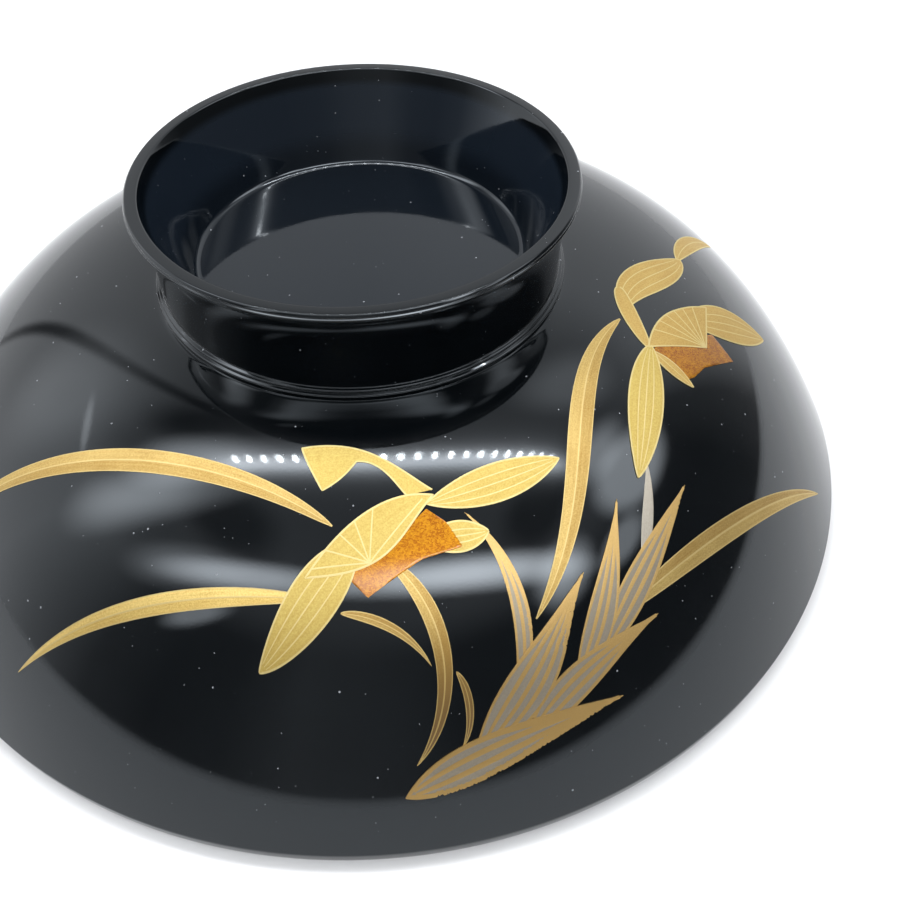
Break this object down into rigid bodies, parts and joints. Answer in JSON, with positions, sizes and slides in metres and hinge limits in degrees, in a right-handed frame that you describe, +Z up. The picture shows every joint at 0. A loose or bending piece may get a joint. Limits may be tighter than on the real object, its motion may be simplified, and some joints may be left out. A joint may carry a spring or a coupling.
{
  "type": "rice bowl",
  "caption": "Shallow black lacquered dish with a flared ring foot, standing rim down as a rice bowl's cover, painted with gold and silver orchid leaves.",
  "frame": {"origin": "centre of the rim, on the surface that the rim rests on", "axes": "+Z up, from the rim to the ring foot; the painting faces -Y and +X; +X to the right of someone who faces it"},
  "size_m": [0.134, 0.134, 0.0449],
  "materials": {
    "turned_wood": "turned and sealed, wholly under the lacquer",
    "black_lacquer": "mirror gloss, with fine dust and faint polishing marks",
    "gold_leaf": "satin metallic with fine grain, shaded from yellow to brown gold, with a pale raised midrib",
    "pale_gold": "satin metallic with fine grain and pale raised outlines",
    "orange_gold": "coarse flaked orange gold",
    "silver_leaf": "satin silver grey, with gold veins and edges"
  },
  "bodies": {
    "root": {"dome_core": "turned_wood", "foot_ring": "turned_wood", "outer_lacquer": "black_lacquer", "inner_lacquer": "black_lacquer", "leaf_far_left": "gold_leaf", "leaf_low_left": "gold_leaf", "leaf_short_left": "gold_leaf", "leaf_middle": "gold_leaf", "leaf_short_middle": "gold_leaf", "leaf_tall": "gold_leaf", "leaf_right": "gold_leaf", "left_bract": "pale_gold", "left_hood": "pale_gold", "left_side_petal": "pale_gold", "left_low_petal": "pale_gold", "left_small_petal": "pale_gold", "left_lip": "orange_gold", "right_bud": "pale_gold", "right_far_petal": "pale_gold", "right_stem": "pale_gold", "right_hood": "pale_gold", "right_side_petal": "pale_gold", "right_low_petal": "pale_gold", "right_small_petal": "pale_gold", "right_lip": "orange_gold", "blade_bottom": "silver_leaf", "blade_left": "silver_leaf", "blade_slim": "silver_leaf", "blade_low_right": "silver_leaf", "blade_centre": "silver_leaf", "blade_right": "silver_leaf", "blade_plain": "silver_leaf"}
  },
  "joints": []
}
